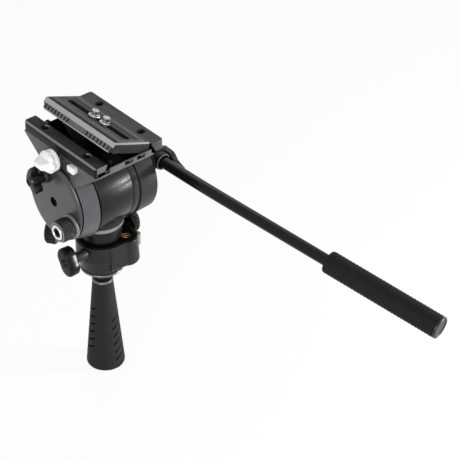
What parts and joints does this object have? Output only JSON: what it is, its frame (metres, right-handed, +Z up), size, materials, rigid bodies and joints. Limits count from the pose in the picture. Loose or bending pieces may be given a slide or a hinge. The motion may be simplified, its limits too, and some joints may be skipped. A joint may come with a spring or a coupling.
{
  "type": "fluid video head",
  "caption": "Fluid pan and tilt video head with a quick-release plate, round drag and wing lock knobs, a pan bar and a tapered tie-down grip.",
  "frame": {"origin": "on the pan axis, in the plane of the base's bright rim, where the head sits in a tripod's bowl or on its top casting", "axes": "+X to the operator's right, where the pan bar is, +Y forward along the lens, +Z up along the pan axis"},
  "size_m": [0.1677, 0.3327, 0.2471],
  "materials": {
    "black_paint": "satin black paint on cast aluminium",
    "dark_paint": "matt black anodised aluminium",
    "black_plastic": "black moulded plastic",
    "rubber": "dark grey rubber",
    "white_plastic": "white moulded plastic",
    "bright": "bright turned steel",
    "bright_aluminium": "bright turned aluminium",
    "steel": "plain steel",
    "brass": "plain brass",
    "grey_plastic": "grey moulded plastic",
    "glass": "tinted clear vial"
  },
  "bodies": {
    "base": {"base_body": "black_paint", "base_rim": "bright", "base_top_plate": "black_plastic", "base_stud": "steel", "accessory_insert": "brass", "level_cup": "grey_plastic", "level_vial": "glass", "pan_bearing_lower": "brass", "pan_bearing_upper": "brass", "pan_lock_shoe": "brass"},
    "tie_down": {"tie_down_grip": "rubber", "tie_down_collar": "bright", "tie_down_nut": "steel"},
    "pan_lock": {"pan_lock_spindle": "steel", "pan_lock_knob": "black_plastic"},
    "front_drag": {"front_drag_knob": "black_plastic"},
    "side_drag": {"side_drag_knob": "black_plastic"},
    "pan_head": {"pan_shaft": "steel", "pan_pedestal": "bright_aluminium", "drum_housing": "black_paint", "drum_cover": "black_paint", "tilt_bush_near": "brass", "tilt_bush_far": "brass", "counterbalance_spring": "steel", "drag_disc_fixed": "steel"},
    "tilt_frame": {"platform_block": "black_paint", "near_rail": "dark_paint", "far_rail": "dark_paint", "near_rail_screw_1": "steel", "near_rail_screw_2": "steel", "far_rail_screw_1": "steel", "far_rail_screw_2": "steel", "floor_pad": "grey_plastic", "button_stop": "steel", "near_cheek": "black_paint", "near_end_cover": "black_paint", "cover_screw": "steel", "far_cheek": "black_paint", "tilt_shaft": "steel", "drag_disc_turning": "steel", "bar_rosette": "steel"},
    "clamp": {"clamp_knob": "white_plastic", "clamp_stem": "steel"},
    "jaw": {"clamp_jaw": "steel"},
    "button": {"release_button": "white_plastic"},
    "catch": {"catch_pin": "bright"},
    "tilt_lock": {"tilt_lock_spindle": "steel", "tilt_lock_knob": "black_plastic"},
    "tilt_drag": {"tilt_drag_knob": "black_plastic", "tilt_drag_spindle": "bright"},
    "pan_bar": {"bar_clamp": "black_plastic", "bar_tube": "dark_paint", "bar_grip": "rubber", "bar_grip_cap": "grey_plastic"},
    "bar_lever": {"bar_lever": "black_plastic"},
    "plate": {"plate_body": "dark_paint", "plate_pad": "rubber"},
    "front_screw": {"front_camera_screw": "bright"},
    "rear_screw": {"rear_camera_screw": "bright"}
  },
  "joints": [
    {"name": "tie_down_turn", "type": "hinge", "parent": "base", "child": "tie_down", "pos_m": [0, 0, -0.05], "axis": [0, 0, 1], "continuous": true},
    {"name": "pan", "type": "hinge", "parent": "base", "child": "pan_head", "pos_m": [0, 0, 0.031], "axis": [0, 0, 1], "continuous": true},
    {"name": "pan_lock_turn", "type": "hinge", "parent": "base", "child": "pan_lock", "pos_m": [-0.03, -0.0064, 0.0246], "axis": [1, 0, 0], "range_deg": [-60, 30]},
    {"name": "front_drag_turn", "type": "hinge", "parent": "base", "child": "front_drag", "pos_m": [-0.02029, 0.02974, 0.0264], "axis": [-0.5635, 0.8261, 0], "continuous": true},
    {"name": "side_drag_turn", "type": "hinge", "parent": "base", "child": "side_drag", "pos_m": [0.034, 0.0067, 0.0264], "axis": [1, 0, 0], "continuous": true},
    {"name": "tilt", "type": "hinge", "parent": "pan_head", "child": "tilt_frame", "pos_m": [0, 0.007, 0.0767], "axis": [1, 0, 0], "range_deg": [-60, 70]},
    {"name": "clamp_turn", "type": "hinge", "parent": "tilt_frame", "child": "clamp", "pos_m": [-0.045, 0.0036, 0.1189], "axis": [1, 0, 0], "range_deg": [0, 66]},
    {"name": "jaw_slide", "type": "slide", "parent": "tilt_frame", "child": "jaw", "axis": [1, 0, 0], "range_m": [0, 0.0009]},
    {"name": "button_press", "type": "slide", "parent": "tilt_frame", "child": "button", "axis": [1, 0, 0], "range_m": [0, 0.0024], "stiffness_N_per_m": 400, "springref_m": -0.0008},
    {"name": "catch_drop", "type": "slide", "parent": "tilt_frame", "child": "catch", "axis": [0, 0, -1], "range_m": [0, 0.0024]},
    {"name": "tilt_lock_turn", "type": "hinge", "parent": "tilt_frame", "child": "tilt_lock", "pos_m": [-0.045, 0.0158, 0.0977], "axis": [1, 0, 0], "range_deg": [-60, 30]},
    {"name": "tilt_drag_turn", "type": "hinge", "parent": "tilt_frame", "child": "tilt_drag", "pos_m": [-0.045, -0.0164, 0.0661], "axis": [1, 0, 0], "continuous": true},
    {"name": "pan_bar_swing", "type": "hinge", "parent": "tilt_frame", "child": "pan_bar", "pos_m": [0.047, -0.0133, 0.0911], "axis": [1, 0, 0], "range_deg": [-80, 40]},
    {"name": "bar_lever_turn", "type": "hinge", "parent": "pan_bar", "child": "bar_lever", "pos_m": [0.056, -0.0133, 0.0911], "axis": [1, 0, 0], "range_deg": [-90, 0]},
    {"name": "plate_tip", "type": "hinge", "parent": "tilt_frame", "child": "plate", "pos_m": [0.0183, 0, 0.1244], "axis": [0, 1, 0], "range_deg": [-21.5, 0]},
    {"name": "front_screw_slide", "type": "slide", "parent": "plate", "child": "front_screw", "axis": [0, 1, 0], "range_m": [0, 0.02]},
    {"name": "rear_screw_slide", "type": "slide", "parent": "plate", "child": "rear_screw", "axis": [0, 1, 0], "range_m": [-0.02, 0]}
  ],
  "couplings": [
    {"joint": "clamp_turn", "follows": "jaw_slide", "rad_per_m": 1163},
    {"joint": "catch_drop", "follows": "button_press", "ratio": 1}
  ]
}
